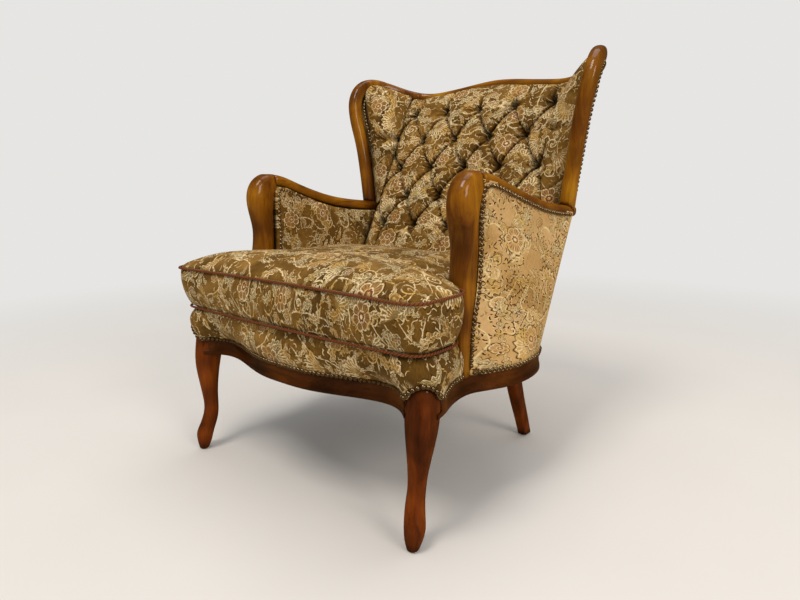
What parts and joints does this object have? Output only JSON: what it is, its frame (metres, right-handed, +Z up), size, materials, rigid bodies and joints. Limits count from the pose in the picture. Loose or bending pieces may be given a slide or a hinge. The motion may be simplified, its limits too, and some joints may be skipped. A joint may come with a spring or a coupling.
{
  "type": "bergere chair",
  "caption": "Upholstered wing armchair with carved show-wood, cabriole front legs, a deep-tufted winged back, padded arms and a loose T-shaped seat cushion.",
  "frame": {"origin": "on the floor, under the middle of the chair's bounding box", "axes": "+Z up, the front of the chair faces -Y, +X is the sitter's left hand side seen from the front as the right"},
  "size_m": [0.735, 0.8242, 0.9148],
  "materials": {
    "show_wood": "glossy honey-brown varnish, darker in the hollows",
    "rail_wood": "glossy dark brown varnish",
    "inner_wood": "plain sawn beech",
    "velvet": "floral cut velvet, olive gold with cream leaves and wine-red petals",
    "outside_velvet": "the same velvet seen from its paler side",
    "piping": "twisted rust-brown cord",
    "nails": "antique bronze domed nails",
    "hessian": "coarse woven jute",
    "dust_cloth": "thin dark woven cloth",
    "spring_steel": "oiled spring wire",
    "glide_steel": "pressed steel"
  },
  "bodies": {
    "frame": {"front_leg_left": "show_wood", "front_leg_right": "show_wood", "rear_leg_left": "show_wood", "rear_leg_right": "show_wood", "arm_post_left": "show_wood", "arm_post_right": "show_wood", "arm_rail_left": "show_wood", "arm_rail_right": "show_wood", "wing_rail_left": "show_wood", "wing_rail_right": "show_wood", "crest_rail": "show_wood", "front_seat_rail": "rail_wood", "side_seat_rail_left": "rail_wood", "side_seat_rail_right": "rail_wood", "back_seat_rail": "rail_wood", "corner_block_left": "inner_wood", "corner_block_right": "inner_wood", "back_upright_left": "inner_wood", "back_upright_right": "inner_wood", "back_tack_rail": "inner_wood", "back_pad": "velvet", "wing_pad_left": "velvet", "wing_pad_right": "velvet", "arm_pad_left": "velvet", "arm_pad_right": "velvet", "front_border_pad": "velvet", "seat_deck_pad": "velvet", "arm_outside_cover_left": "outside_velvet", "arm_outside_cover_right": "outside_velvet", "wing_outside_cover_left": "outside_velvet", "wing_outside_cover_right": "outside_velvet", "outside_back_cover": "outside_velvet", "front_nails": "nails", "side_nails_left": "nails", "side_nails_right": "nails", "arm_nails_outer_left": "nails", "arm_nails_outer_right": "nails", "arm_nails_inner_left": "nails", "arm_nails_inner_right": "nails", "wing_nails_inner_left": "nails", "wing_nails_inner_right": "nails", "wing_nails_outer_left": "nails", "wing_nails_outer_right": "nails", "back_hessian": "hessian", "seat_hessian": "hessian", "dust_cover": "dust_cloth", "seat_spring_1": "spring_steel", "seat_spring_2": "spring_steel", "seat_spring_3": "spring_steel", "seat_spring_4": "spring_steel", "seat_spring_5": "spring_steel", "front_glide_left": "glide_steel", "front_glide_right": "glide_steel", "rear_glide_left": "glide_steel", "rear_glide_right": "glide_steel"},
    "cushion": {"seat_cushion": "velvet", "cushion_piping_upper": "piping", "cushion_piping_lower": "piping"}
  },
  "joints": [
    {"name": "cushion_lift_out", "type": "slide", "parent": "frame", "child": "cushion", "axis": [0, -0.866, 0.5], "range_m": [0, 0.62]}
  ]
}
